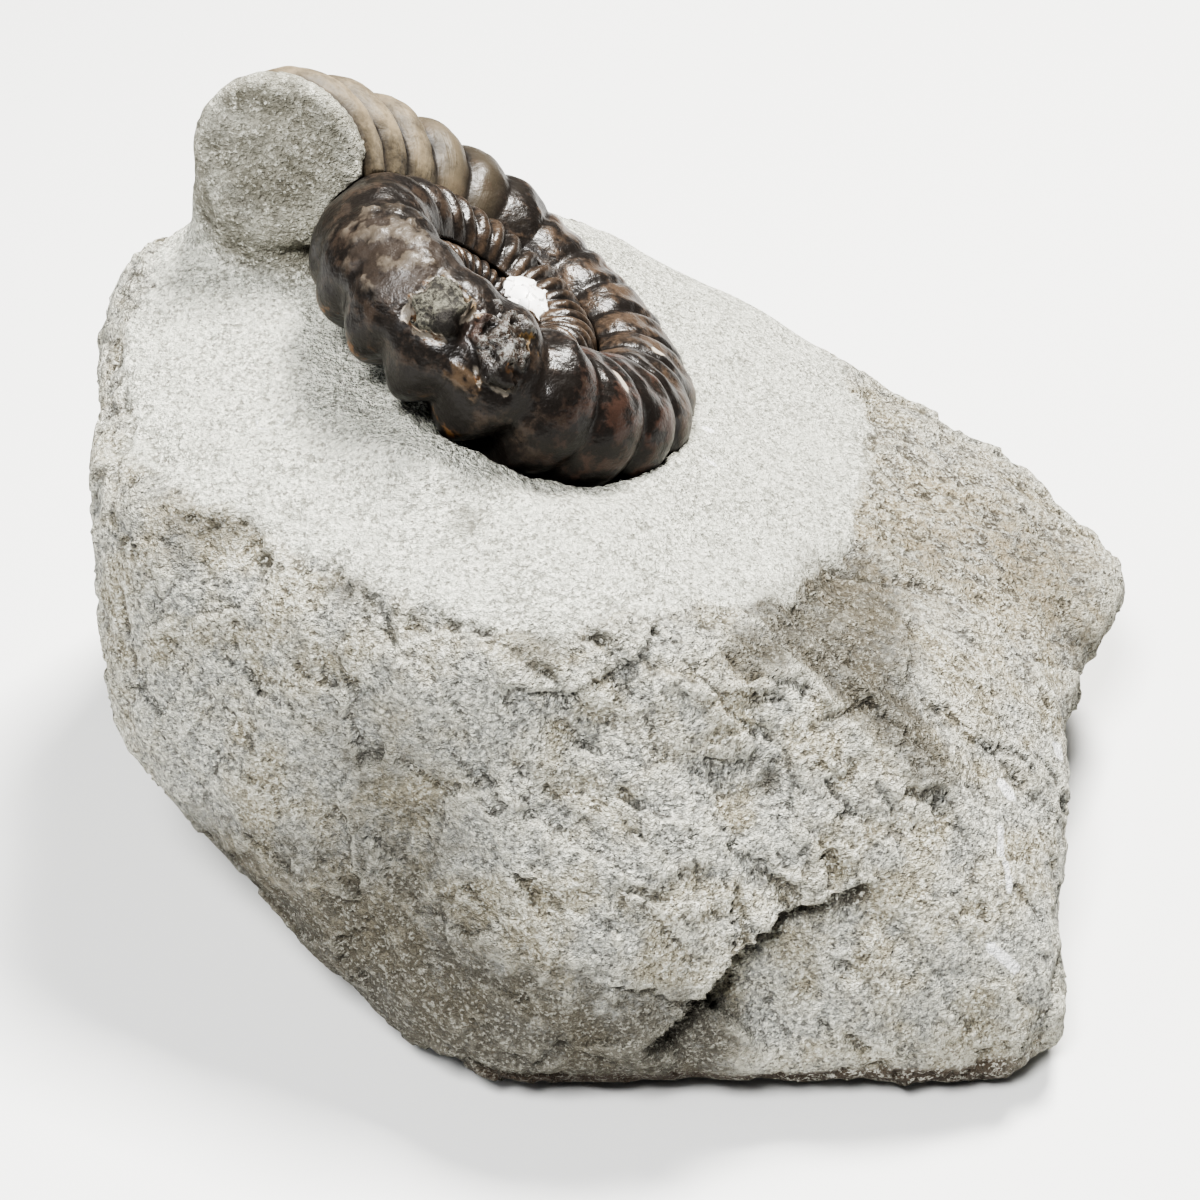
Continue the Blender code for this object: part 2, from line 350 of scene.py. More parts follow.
COIL_CENTRE = Vector((-10.7, 13.3, 44.4)) * MM
COIL_LEAN = math.radians(38.8)
COIL_LEAN_TOWARDS = math.radians(19.3)
MOUTH_TURN = math.radians(-39.7)
SHELL_SIZES = {
    "Mouth radius": 29.8 * MM,
    "Whorl growth": 1.9,
    "Turns": 3.2,
    "Rib step": math.radians(12.8),
    "Rib widening": 0.0290,
    "Fine ribs from": 1.05,
    "Fine rib step": math.radians(11.5),
    "Rib relief": 0.2,
    "Knob height": 0.9 * MM,
    "Lump height": 0.26 * MM,
    "Whorl gap": 0.22 * MM,
}
STATIONS = 780
SHELL_SIDES = 124
coil = (
    Matrix.Translation(COIL_CENTRE)
    @ Matrix.Rotation(COIL_LEAN_TOWARDS, 4, "Z")
    @ Matrix.Rotation(COIL_LEAN, 4, "Y")
    @ Matrix.Rotation(MOUTH_TURN, 4, "Z")
)

# Where between two ribs the mouth is, how far a rib strays as a share of their spacing, and its roundness
RIB_START = 0.1
RIB_STRAY = 0.22
RIB_ROUNDING = 0.006
# The section of the whorl underneath: its half height in outer radii, and its width for its height
UNDER_HEIGHT = 0.31
UNDER_WIDTH = 1.2
# Stretches of the coil in turns back from the mouth: from, to and soft edge
NEAR_WHORL = (0.66, 0.98, 0.06)
WORN_FLANK = (0.71, 0.95, 0.05)
LOWER_MARGIN = (0.66, 1.0, 0.04)
UPPER_KNOBS = (0.24, 0.6, 0.04)
LOWER_KNOBS = (0.24, 0.56, 0.04)


class Patch(NamedTuple):
    """A broken patch of the near whorl: its middle in turns back from the mouth and degrees round from the
    venter, its half length in turns, its half width in degrees and its depth in millimetres."""

    turn: float
    side: float
    half_length: float
    half_width: float
    depth: float = 0
    ragged: float = 1
    soft: float = 0.12
    squareness: float = 2


STONE_FILL = Patch(0.757, 33, 0.017, 18, 0.8, ragged=0.55, soft=0.08, squareness=4)
CRYSTAL_FILL = Patch(0.704, 44, 0.017, 22, 0.5)
DARK_PIT = Patch(0.696, 21, 0.013, 9, 1.1, ragged=0.6, soft=0.3)
SMALL_PIT = Patch(0.744, 27, 0.008, 10, 0.8, ragged=0.6, soft=0.4)
FLAKED = Patch(0.712, 2, 0.013, 7.5, 0.25, ragged=1.3)
RED_LUMP = Patch(0.728, 40, 0.007, 12, -0.35, soft=0.6)
WORN = Patch(0.815, 42, 0.060, 34, soft=0.35)
# Heights in millimetres of the patches' lips and of the two layers that flaked off
LIP_HEIGHT = 0.25
UPPER_LAYER = 0.17
LOWER_LAYER = 0.16


def straight(value, low, high):
    """Straight from 0 to 1 between these values, and level beyond them."""
    return ((value - low) / (high - low)).turned("MAXIMUM", 0.0).turned("MINIMUM", 1.0)


def patch_away(patch, turns, side, wander):
    """How far each place is from the patch's middle, in radii, so that 1 is its ragged rim."""
    along = ((turns - patch.turn) / patch.half_length).turned("ABSOLUTE")
    around = ((side - patch.side) / patch.half_width).turned("ABSOLUTE")
    radii = (along ** patch.squareness + around ** patch.squareness) ** (1 / patch.squareness)
    return radii + wander * patch.ragged


def inside_patch(patch, turns, side, wander):
    """1 inside the patch and 0 outside it, over its soft rim."""
    return step_between(patch_away(patch, turns, side, wander), 1 + patch.soft, 1 - patch.soft)


# A plain tube, whose length stands for turns back from the mouth and whose sides run round from the venter
tree, _, size = begin_geometry("ribbed spiral tube", SHELL_SIZES)
tube = tree.nodes.new("GeometryNodeMeshCylinder")
tube.inputs["Vertices"].default_value = SHELL_SIDES
tube.inputs["Side Segments"].default_value = STATIONS
tube.inputs["Radius"].default_value = 1.0
tube.inputs["Depth"].default_value = 1.0
split = tree.nodes.new("ShaderNodeSeparateXYZ")
connect(tree, split.inputs[0], here(tree))
across, upward, along = (Field(tree, output) for output in split.outputs)
side = upward.turned("ARCTAN2", across)
degrees = side * (180 / math.pi)
wave = side.turned("COSINE")
bulge = side.turned("SINE")
last_size = size["Whorl growth"] ** (size["Turns"] * -0.5)
turns = (1 - (0.5 - along) * (1 - last_size)).turned("LOGARITHM", size["Whorl growth"]) * -2

# Ribs are counted back from the mouth, further and further apart until the fine ones of the inner whorls
coarse_angle = turns.turned("MINIMUM", size["Fine ribs from"]) * math.tau
coarse_ribs = (1 + size["Rib widening"] * coarse_angle / size["Rib step"]).turned("LOGARITHM", math.e)
fine_angle = (turns - size["Fine ribs from"]).turned("MAXIMUM", 0.0) * math.tau
rib = coarse_ribs / size["Rib widening"] + fine_angle / size["Fine rib step"] + RIB_START

# The whorl's section, which is fuller further back, and that of the whorl it lies on
outer = size["Mouth radius"] * size["Whorl growth"] ** (turns * -1)
half_height = outer * (0.54 + 0.03 * straight(turns, 0, 0.5) + 0.05 * straight(turns, 0.5, 1)) * 0.5
half_width = half_height * (0.98 + 0.1 * straight(turns, 0, 0.5) + 0.12 * straight(turns, 0.5, 1))
under_outer = outer / size["Whorl growth"]
under_height = under_outer * UNDER_HEIGHT
under_width = under_height * UNDER_WIDTH

# Rounded, uneven ribs that are low where the flank is worn and fade on the side that faces the coil's middle
unevenness = clouds(combined(rib * 0.7, wave * 1.3, bulge * 1.3), 1.0, 2.0)
sharpness = 0.3 + 0.3 * window(turns, *NEAR_WHORL)
crest = ((rib + (unevenness - 0.5) * RIB_STRAY) * math.pi).turned("SINE") ** 2
crest = (crest + RIB_ROUNDING) ** sharpness
on_venter = 1 - 0.1 * straight(turns, 0, 0.4) - 0.45 * straight(turns, 0.55, 0.72)
outward = (1.2 + 1.2 * wave).turned("MAXIMUM", 0.0).turned("MINIMUM", 1.0)
worn_flat = step_between(degrees, -30, 5) * window(turns, *WORN_FLANK)
smooth_place = bell(turns, 0.195, 0.03)
rib_height = size["Rib relief"] * (0.55 + 0.9 * unevenness)
rib_height = rib_height * (1 - 0.65 * worn_flat) * (1 - 0.5 * smooth_place)
rib_height = rib_height * (1.35 - 0.35 * straight(turns, 0.05, 0.2))
lower_margin = window(degrees, -75, -25, 20) * window(turns, *LOWER_MARGIN)
relief = rib_height * (on_venter + (1 - on_venter) * bulge * bulge) * outward * (1 + 0.6 * lower_margin)
swelling = 1 - relief * (1 - crest)

# The tube is laid along the spiral, and pressed flat where it lies on the whorl under it
radius = outer - half_height + wave * half_height * swelling
height = bulge * half_width * swelling
pressed = (1 - (height / under_width) ** 2).turned("MAXIMUM", 0.0).turned("SQRT")
floor_radius = under_outer - under_height + under_height * pressed + size["Whorl gap"]
covered = height.turned("ABSOLUTE").turned("LESS_THAN", under_width)
radius = radius + covered * (floor_radius - radius).turned("MAXIMUM", 0.0)
angle = turns * math.tau
on_spiral = combined(angle.turned("COSINE") * radius * -1, angle.turned("SINE") * radius, height)
shape = kept(Field(tree, tube.outputs["Mesh"]), turns=turns, side=degrees, crest=crest)
shape = geometry_step(shape, "GeometryNodeSetPosition", Position=on_spiral)

# Broken patches with raised lips, flaking layers, lumps and knobs
place = here(tree)
turns = kept_value(tree, "turns")
side = kept_value(tree, "side")
crest = kept_value(tree, "crest")
wander = clouds(place, 1.6 * MM, 3, 0.6) - 0.5 + chips(place, 1.7 * MM, 0.45) / MM
stone_fill = inside_patch(STONE_FILL, turns, side, wander)
crystal_fill = inside_patch(CRYSTAL_FILL, turns, side, wander)
dark_pit = inside_patch(DARK_PIT, turns, side, wander)
small_pit = inside_patch(SMALL_PIT, turns, side, wander)
flaked = inside_patch(FLAKED, turns, side, wander)
red_lump = inside_patch(RED_LUMP, turns, side, wander)
worn = inside_patch(WORN, turns, side, wander)
layers = clouds(place, 2.3 * MM, 3, 0.55)
broken_zone = (worn + stone_fill + crystal_fill).turned("MINIMUM", 1.0)
flaking = step_between(layers, 0.505, 0.53) * UPPER_LAYER + step_between(layers, 0.60, 0.62) * LOWER_LAYER
flaking = flaking * broken_zone
lip = bell(patch_away(STONE_FILL, turns, side, wander), 1.2, 0.17)
lip = lip + bell(patch_away(CRYSTAL_FILL, turns, side, wander), 1.12, 0.1) * step_between(turns, 0.7, 0.69)
lip = lip + bell(patch_away(DARK_PIT, turns, side, wander), 1.3, 0.2) * step_between(side, 20, 12)
lip = lip * (1 - small_pit)
rough_fill = chips(warped(place, 1 * MM, 0.5 * MM), 1.1 * MM, 0.22) * stone_fill
crystal_blocks = chips(place, 0.75 * MM, 0.9) * crystal_fill * (1 - dark_pit)
sunk = stone_fill * STONE_FILL.depth * (1 - red_lump) + crystal_fill * CRYSTAL_FILL.depth * (1 - dark_pit)
sunk = sunk + dark_pit * DARK_PIT.depth + small_pit * SMALL_PIT.depth
sunk = sunk + flaked * FLAKED.depth + red_lump * RED_LUMP.depth
lumps = (clouds(place, 3.2 * MM, 2, 0.5) - 0.5) * 2
lumps = lumps + (clouds(place, 1.4 * MM, 3, 0.5) - 0.5) * 0.5 * (1 + 1.2 * broken_zone)
knobs = bell(side, 92, 24) * window(turns, *UPPER_KNOBS)
knobs = knobs + bell(side, 66, 16) * window(turns, *LOWER_KNOBS) * 0.7
swollen = lumps * size["Lump height"] + knobs * crest ** 3 * size["Knob height"]
shape = kept(
    shape,
    stone_fill=stone_fill,
    crystal_fill=crystal_fill,
    dark_pit=(dark_pit + small_pit).turned("MINIMUM", 1.0),
    flaked=flaked,
    red_lump=red_lump,
    worn=worn,
    layers=layers,
    lip=lip,
)
shape = pushed_out(shape, swollen + rough_fill + crystal_blocks + (lip * LIP_HEIGHT - sunk - flaking) * MM)

shell_mineral, tree, shader = new_material("brown-black shell")
shell = place_in_scene("ribbed_shell", bpy.data.meshes.new("shell"))
shell_mesh = run_geometry(shell, shape, SHELL_SIZES, shell_mineral)
shell_mesh.transform(coil)
facing_out(shell_mesh)
store_hollows(shell_mesh)

NEAR_BLACK = (0.0145, 0.0118, 0.01)
DARK_BROWN = (0.044, 0.032, 0.024)
BRONZE = (0.085, 0.058, 0.039)
RED_BROWN = (0.052, 0.028, 0.021)
MOUTH_TAN = (0.225, 0.182, 0.12)
WORN_PALE = (0.14, 0.118, 0.092)
WORN_BROWN = (0.042, 0.032, 0.025)
FILL_DARK = (0.022, 0.02, 0.016)
FILL_GREY = (0.14, 0.134, 0.105)
CRYSTAL_GREY = (0.15, 0.15, 0.14)
FLAKED_TAN = (0.1, 0.068, 0.042)
RUST = (0.22, 0.105, 0.035)
GOLD_BROWN = (0.15, 0.09, 0.03)
STREAK_CREAM = (0.50, 0.44, 0.36)
SHELL_BUMP = 0.25 * MM

place = object_place(tree)
turns = attribute_field(tree, "turns")
side = attribute_field(tree, "side")
crest = attribute_field(tree, "crest")
worn = attribute_field(tree, "worn")
layers = attribute_field(tree, "layers")
crevice = attribute_field(tree, "crevice")
blotches = clouds(place, 2.6 * MM, 4, 0.65)
fine = clouds(place, 0.45 * MM, 3, 0.65)
wander = blotches - 0.5 + (fine - 0.5) * 0.3

# Near black with brown blotches, bronze on the far and inner ribs, and tan towards the mouth
colour = blend(step_between(wander, -0.02, 0.16), NEAR_BLACK, DARK_BROWN)
far_bronze = window(turns + wander * 0.1, 0.24, 0.5, 0.03)
far_bronze = far_bronze * step_between(crest * 0.6 + wander * 1.6, 0.3, 0.8)
inner_bronze = step_between(turns, 1.0, 1.2) * step_between(crest * 0.7 + wander * 1.4, 0.3, 0.9) * 0.8
colour = blend(far_bronze.turned("MAXIMUM", inner_bronze) * 0.8, colour, BRONZE)
reddish = window(turns + wander * 0.15, 0.54, 0.63, 0.03) * step_between(wander, -0.05, 0.12)
colour = blend(reddish * 0.75, colour, RED_BROWN)
towards_mouth = 1 - step_between(turns + wander * 0.15, 0.07, 0.21)
colour = blend(towards_mouth * crest ** 1.5 * (0.72 + wander * 2.2), colour, MOUTH_TAN)
rusty = bell(side, -56, 12) * step_between(wander, 0.05, 0.14) * window(turns, 0.6, 0.85, 0.03)
colour = blend(rusty * 0.7, colour, RUST)

# The worn patch, the stone and the crystals, then the lips, painted shade in the pits and crevices, and two
# pale streaks
colour = blend(worn * 0.75, colour, WORN_BROWN)
worn_patchy = worn * step_between(layers + (fine - 0.5) * 0.16, 0.49, 0.57)
colour = blend(worn_patchy * (0.15 + fine * 0.6), colour, WORN_PALE)
filled = attribute_field(tree, "stone_fill")
fill_colour = blend(step_between(fine + wander * 0.7, 0.36, 0.68), FILL_DARK, FILL_GREY)
colour = blend(filled * 0.95, colour, fill_colour)
crystals = attribute_field(tree, "crystal_fill")
crystal_colour = blend(step_between(fine, 0.44, 0.62), DARK_BROWN, CRYSTAL_GREY)
colour = blend(crystals * 0.9, colour, crystal_colour)
colour = blend(attribute_field(tree, "red_lump") * 0.7, colour, RED_BROWN)
flaked = attribute_field(tree, "flaked") * step_between(wander, -0.12, 0.05)
colour = blend(flaked * 0.75, colour, FLAKED_TAN)
lip_share = step_between(attribute_field(tree, "lip") + wander * 0.6, 0.25, 0.6)
lip_colour = blend(step_between(wander, 0.02, 0.08), STREAK_CREAM, RUST)
colour = blend(lip_share * step_between(side, 62, 48) * 0.85, colour, lip_colour)
colour = blend(lip_share * step_between(side, 44, 56) * 0.8, colour, GOLD_BROWN)
# Painted shade: the pits and the crevices are painted near black
colour = blend(attribute_field(tree, "dark_pit") * 0.85, colour, NEAR_BLACK)
colour = blend(step_between(crevice + (fine - 0.5) * 0.08, 0.02, 0.1) * 0.75, colour, NEAR_BLACK)
pale_streaks = bell(turns, 0.582, 0.007) * bell(side, 74, 15) + bell(turns, 0.444, 0.008) * bell(side, 97, 9)
pale_streaks = step_between(pale_streaks + wander * 0.6, 0.35, 0.6)
colour = blend(pale_streaks * 0.8, colour, STREAK_CREAM)
connect(tree, shader.inputs["Base Color"], colour)

# Glossy where it is whole, duller on the worn patch, the stone and the ribs at the mouth
dull = worn * 0.08 + filled * 0.4 + towards_mouth * 0.25
connect(tree, shader.inputs["Roughness"], (0.33 + dull + (fine - 0.5) * 0.25).turned("MINIMUM", 0.9))
shader.inputs["Specular IOR Level"].default_value = 0.36
growth_lines = clouds(combined(turns * 190, side * 0.03), 1.0, 2, 0.6) * (0.05 + 0.5 * towards_mouth)
grainy = (filled + crystals).turned("MINIMUM", 1.0)
add_bump(shader, blotches + fine * (0.12 + 0.9 * grainy) + growth_lines, SHELL_BUMP)

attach(shell, "root")
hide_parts("ammonite_shell")


# Calcite core
# White calcite that grew in the coil's middle and shows between the whorls: a lump of crystals that are
# grown together and broken along flat cleavage faces.

CALCITE_CENTRE = Vector((3.2, 5.8, 1.7)) * MM
CALCITE_RADII = Vector((4.0, 3.2, 2.0)) * MM
CALCITE_SIZES = {"Cleavage pitch": 1.5 * MM, "Cleavage slope": 0.3}

tree, _, size = begin_geometry("cleaved crystals", CALCITE_SIZES)
ball = tree.nodes.new("GeometryNodeMeshIcoSphere")
ball.inputs["Radius"].default_value = 1.0
ball.inputs["Subdivisions"].default_value = 6
body = geometry_step(Field(tree, ball.outputs[0]), "GeometryNodeTransform", Scale=CALCITE_RADII)
body = pushed_out(body, chips(here(tree), size["Cleavage pitch"], size["Cleavage slope"]))
white_calcite, tree, shader = new_material("white calcite")
calcite = place_in_scene("calcite_crystals", bpy.data.meshes.new("calcite"))
calcite_mesh = run_geometry(calcite, body, CALCITE_SIZES, white_calcite)
calcite_mesh.transform(coil @ Matrix.Translation(CALCITE_CENTRE))

CALCITE_WHITE = (0.82, 0.81, 0.78)
CALCITE_BROWN = (0.42, 0.33, 0.22)
place = object_place(tree)
veins = step_between(clouds(place, 2.2 * MM, 4, 0.65), 0.57, 0.66)
connect(tree, shader.inputs["Base Color"], blend(veins * 0.8, CALCITE_WHITE, CALCITE_BROWN))
shader.inputs["Roughness"].default_value = 0.35

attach(calcite, "root")
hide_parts("calcite_core")


# Matrix nodule
# Half of a rounded nodule of grey limestone, broken open in front and low on the right. Its domed top was
# cleaned with fine abrasive, and the hardened mud of the shell's last chamber is one piece with it.


def joined_copy(node):
    """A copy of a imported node's mesh with its loose triangles joined."""
    bm = bmesh.new()
    bm.from_mesh(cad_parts[node].data)
    bmesh.ops.remove_doubles(bm, verts=bm.verts, dist=0.001 * MM)
    mesh = bpy.data.meshes.new(node + "_copy")
    bm.to_mesh(mesh)
    bm.free()
    return mesh


# The rim of the cleaned top, seen from above in millimetres, from the left edge round by the front
CLEANED_RIM = (
    (-39.8, -4.3),
    (-32.8, -9),
    (-20, -16.8),
    (-11.8, -21),
    (-3.1, -23.5),
    (8.1, -17.6),
    (15.8, -12),
    (22.1, 0.6),
    (25.2, 14.3),
    (25.3, 26.7),
    (20, 44),
    (-20, 46),
    (-38, 30),
    (-42, 12),
)
CLEANED_LOWEST = 24
# The middle of the plug's face, and how far the plug reaches from there
PLUG_FACE = Vector((-27.7, 19.2, 57.0)) * MM
PLUG_REACH = 12.5 * MM


def inside_rim(places):
    """How far inside the cleaned top's rim each place lies, in millimetres, below 0 on broken stone."""
    points = places[:, :2] / MM
    nearest = np.full(len(points), 1e9)
    inside = np.zeros(len(points), bool)
    for start, end in zip(CLEANED_RIM, CLEANED_RIM[1:] + CLEANED_RIM[:1]):
        start = np.array(start)
        run = np.array(end) - start
        travel = np.clip(((points - start) @ run) / (run @ run), 0, 1)
        nearest = np.minimum(nearest, np.linalg.norm(points - start - travel[:, None] * run, axis=1))
        spans = (start[1] > points[:, 1]) != (end[1] > points[:, 1])
        crossing = start[0] + run[0] * (points[:, 1] - start[1]) / (run[1] or 1)
        inside ^= spans & (points[:, 0] < crossing)
    signed = np.where(inside, nearest, -nearest)
    level = places[:, 2] / MM
    return np.where(level > CLEANED_LOWEST, signed, np.minimum(signed, (level - CLEANED_LOWEST) * 2))


# Ridges, furrows, cracks and pits that stand out on the broken stone: points in millimetres, half width in
# millimetres, and height in millimetres, less than 0 for a furrow
MARKS = (
    (((21.1, -5.0, 29.5), (15.6, -15.5, 32.8), (11.1, -22.0, 34.7)), 2.0, -0.7),
    (((18.8, -17.7, 30.9), (23.1, -12.8, 28.9)), 1.6, -0.5),
    (((14.1, -12.5, 33.0), (17.2, -16.4, 31.9), (22.1, -19.3, 29.1), (24.5, -22.0, 27.1)), 1.1, 0.5),
    (((18.5, -21.9, 30.4), (21.8, -24.6, 27.4), (29.6, -22.9, 23.5)), 1.2, 0.4),
    (((22.5, -27.6, 24.6), (26.6, -29.8, 21.1), (30.5, -30.0, 18.5)), 1.1, -0.3),
    (((3.2, -20.6, 37.7), (7.9, -24.8, 34.1), (12.7, -25.3, 31.3)), 1.2, 0.4),
    (((8.4, -29.3, 28.2), (11.9, -28.8, 26.4), (15.9, -28.8, 25.5)), 0.8, -0.45),
    (((3.5, -25.8, 33.9), (7.1, -28.9, 29.3), (10.7, -32.5, 23.9)), 0.8, -0.3),
    (((3.7, -27.0, 32.6), (5.1, -28.6, 30.6)), 0.35, -0.5),
    (((1.7, -37.1, 20.9), (2.7, -37.6, 20.3)), 0.4, -0.6),
    (((17.6, -34.8, 16.4), (18.2, -36.0, 14.3), (19.5, -36.3, 14.0), (19.2, -37.0, 12.5)), 0.4, -0.6),
    (((17.9, -37.9, 10.4), (19.8, -39.1, 8.3), (21.7, -39.3, 6.9)), 0.5, -0.8),
    (
        (
            (-40.8, 4.8, 41.8),
            (-40.3, -0.7, 40.9),
            (-40.6, -3.4, 40.3),
            (-39.6, -9.9, 38.1),
            (-38.7, -17.7, 26.5),
        ),
        0.5,
        -0.6,
    ),
    (((-37.9, -0.8, 41.8), (-36.3, -4.0, 41.6)), 1.5, -0.8),
    (((-38.0, -8.0, 40.0), (-36.8, -12.7, 37.4), (-36.0, -15.6, 33.4)), 1.2, 0.5),
    (((-6.3, -22.9, 37.6), (-3.1, -23.9, 36.9)), 1.1, -0.7),
    (((-20.3, -17.8, 38.8), (-23.3, -15.0, 39.4)), 0.9, -0.6),
    (((-0.1, -26.9, 32.9), (0.3, -27.1, 32.6)), 0.6, -0.5),
    (((13.5, -27.7, 27.2), (14.0, -27.8, 26.9)), 0.8, -0.6),
    (((41.0, -1.7, 19.2), (44.5, 2.3, 14.3)), 0.6, -0.35),
    (((44.5, 3.0, 17.0), (46.5, 9.0, 15.5), (46.0, 12.0, 15.4)), 4.0, 1.7),
    (((42.5, -5.0, 16.5), (43.5, -2.5, 13.5)), 2.5, 1.2),
    (((43.5, -30.0, 5.0), (42.0, -34.0, 4.5)), 4.0, 1.0),
)
# The cleft's upper edge from its right end down, and the ways out of the stone, across it and along it
CLEFT_LINE = (
    (20.8, -32.8, 19.5),
    (16.0, -34.3, 18.7),
    (11.4, -36.8, 17.3),
    (7.0, -39.5, 14.0),
    (5.4, -40.1, 11.2),
)
CLEFT_OUT = (0.3, -0.84, 0.45)
CLEFT_DOWN = (0.53, -0.17, -0.83)
CLEFT_RUN = (-0.81, -0.4, -0.43)
CLEFT_DEPTH = 2.8


def set_places(mesh, places):
    mesh.vertices.foreach_set("co", places.astype(np.float32).ravel())
    mesh.update()


def offsets_from_line(points, line):
    """From a line's nearest place to each point, and how far along its straight runs that place is."""
    offsets = np.full((len(points), 3), 1e6)
    travelled = np.zeros(len(points))
    before = 0
    for start, end in zip(line, line[1:]):
        start = np.array(start)
        run = np.array(end) - start
        share = np.clip(((points - start) @ run) / (run @ run), 0, 1)
        found = points - start - share[:, None] * run
        closer = np.linalg.norm(found, axis=1) < np.linalg.norm(offsets, axis=1)
        offsets[closer] = found[closer]
        travelled[closer] = before + share[closer] * np.linalg.norm(run)
        before += np.linalg.norm(run)
    return offsets, travelled


def from_line(places, line):
    """How far each place is from a line of straight runs, in millimetres as the line is."""
    return np.linalg.norm(offsets_from_line(places / MM, line)[0], axis=1)


def window_of(value, low, high, soft):
    """1 between low and high, falling straight to 0 over the soft distance outside them."""
    return np.clip((value - low) / soft + 1, 0, 1) * np.clip((high - value) / soft + 1, 0, 1)


VOXEL = 0.44 * MM
NODULE_TRIANGLES = 196000
THINNING_LEVELS = 10
SHELL_REACH = 4 * MM
BEND_PITCH = 3 * MM
BEND_REACH = 1.3
BEND_SEED = 1
SOFTENING_ROUNDS = 22
MOAT_DEPTH = 1.7 * MM
SEAT_FILL = 1.0 * MM
CLEFT_SHADE_REACH = 6

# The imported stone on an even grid, with fewer faces near the base and behind
limestone, tree, shader = new_material("grey limestone")
nodule = place_in_scene("limestone_nodule", joined_copy("matrix_nodule"))
remesh = nodule.modifiers.new("even grid", "REMESH")
remesh.mode = "VOXEL"
remesh.voxel_size = VOXEL
stone_mesh = plain_mesh(nodule)
places = vectors_of(stone_mesh)
coarse_share = np.clip((12 * MM - places[:, 2]) / (10 * MM), 0, 1)
coarse_share = coarse_share + np.clip((places[:, 1] - 10 * MM) / (25 * MM), 0, 0.5)
coarse_level = np.round(np.clip(coarse_share, 0, 1) * THINNING_LEVELS)
group = nodule.vertex_groups.new(name="thinned")
for level in range(1, THINNING_LEVELS + 1):
    members = np.flatnonzero(coarse_level == level)
    group.add(members.tolist(), level / THINNING_LEVELS, "REPLACE")
thin = nodule.modifiers.new("fewer faces", "DECIMATE")
thin.ratio = min(1.0, NODULE_TRIANGLES / sum(len(polygon.vertices) - 2 for polygon in stone_mesh.polygons))
thin.vertex_group = "thinned"
stone_mesh = plain_mesh(nodule)

# From each place to the shell, the cleft and the rim of the cleaned top
shell_tree = BVHTree.FromPolygons(
    [vertex.co for vertex in shell_mesh.vertices],
    [polygon.vertices for polygon in shell_mesh.polygons],
)
places = vectors_of(stone_mesh)
from_shell = np.full(len(places), SHELL_REACH)
towards_shell = np.zeros((len(places), 3))
for number, place in enumerate(places):
    found, _, _, distance = shell_tree.find_nearest(Vector(place), SHELL_REACH)
    if found is not None:
        from_shell[number] = distance
        towards_shell[number] = np.array(found) - place
from_cleft = from_line(places, CLEFT_LINE)
cleaned = inside_rim(places)

# The solid's edges are softened, least by the shell, the cleft and the base, and the marks are pressed in
# along lines that a soft noise bends
noise.seed_set(BEND_SEED)
bending = np.array([noise.noise_vector(Vector(place) / BEND_PITCH) for place in places])
bent = places / MM + bending * BEND_REACH
share = np.clip(from_shell / (3 * MM), 0.1, 1) * np.clip(from_cleft / 5 - 0.25, 0.03, 1)
share *= np.where(cleaned > 1, 0.5, 0.2) * np.clip(places[:, 2] / (9 * MM), 0.15, 1)
places = drawn_together(stone_mesh, places, share[:, None], SOFTENING_ROUNDS)
for line, half_width, rise in MARKS:
    away = from_line(bent * MM, line) / half_width
    places += vectors_of(stone_mesh, "normal") * (np.exp(-away * away) * rise * MM)[:, None]

# The cleft drops away sharply below its line, deeper towards its lower end, and its upper edge stands up
offsets, along = offsets_from_line(0.5 * places / MM + 0.5 * bent, CLEFT_LINE)
below = offsets @ np.array(CLEFT_DOWN)
from_cleft = np.linalg.norm(offsets, axis=1)
beyond_ends = np.clip(1 - np.abs(offsets @ np.array(CLEFT_RUN)) / np.where(along < 1, 1.5, 3), 0, 1)
depth = CLEFT_DEPTH * (0.3 + 0.7 * np.clip(along / 18, 0, 1)) * np.exp(-np.maximum(below, 0) / 8)
depth = np.where(below > 0, depth * np.clip(below / 0.4, 0, 1), -0.3 * np.exp(np.minimum(below, 0) / 2))
depth *= beyond_ends * np.clip(1.6 - from_cleft / 8, 0, 1)
places -= np.array(CLEFT_OUT) * (depth * MM)[:, None]
ledge = np.clip(below / 2, 0, 1) * np.clip(2 - from_cleft / 10, 0, 1)
# The band just below the cleft's upper edge, which is painted dark as its shadow
painted_cleft_shadow = window_of(below, 0.1, 0.9 + 0.06 * along, 0.5) * beyond_ends * (from_cleft < CLEFT_SHADE_REACH)

# The cleaned top dips in front of the shell, rises a little at its right end, and meets it without a gap
moat = MOAT_DEPTH * np.clip(1 - from_shell / SHELL_REACH, 0, 1)
moat *= np.clip((18 * MM - places[:, 1]) / (10 * MM), 0, 1)
moat *= np.clip((5 * MM - places[:, 0]) / (6 * MM), -0.35, 1)
places[:, 2] -= moat
fill = np.clip(from_shell - 0.05 * MM, 0, SEAT_FILL) * np.clip(2 - from_shell / (1.1 * MM), 0, 1)
places += towards_shell * (fill / np.maximum(from_shell, 0.01 * MM))[:, None]
set_places(stone_mesh, places)
from_plug = np.linalg.norm(places - np.array(PLUG_FACE), axis=1)
store(stone_mesh, "inside", inside_rim(places))
store(stone_mesh, "plug", np.clip((PLUG_REACH - from_plug) / (2 * MM), 0, 1))
store(stone_mesh, "seat", np.clip(from_shell / (1.5 * MM) - 0.15, 0.05, 1))
store(stone_mesh, "ledge", ledge)
store(stone_mesh, "cleft", painted_cleft_shadow)

STONE_SIZES = {
    "Swell height": 1.0 * MM,
    "Crumb height": 0.09 * MM,
    "Grain height": 0.05 * MM,
    "Rim bite depth": 0.3 * MM,
}
# The way the flakes run, and where the stone is flakiest, with its reach in millimetres
FLAKE_RUN = (0.72, -0.42, -0.55)
FLAKY_PLACE = (14, -22, 28)
FLAKY_REACH = 19
FLAKE_SLOPE = 0.22
SMALL_FLAKE_SLOPE = 0.17
FACET_SLOPE = 0.08


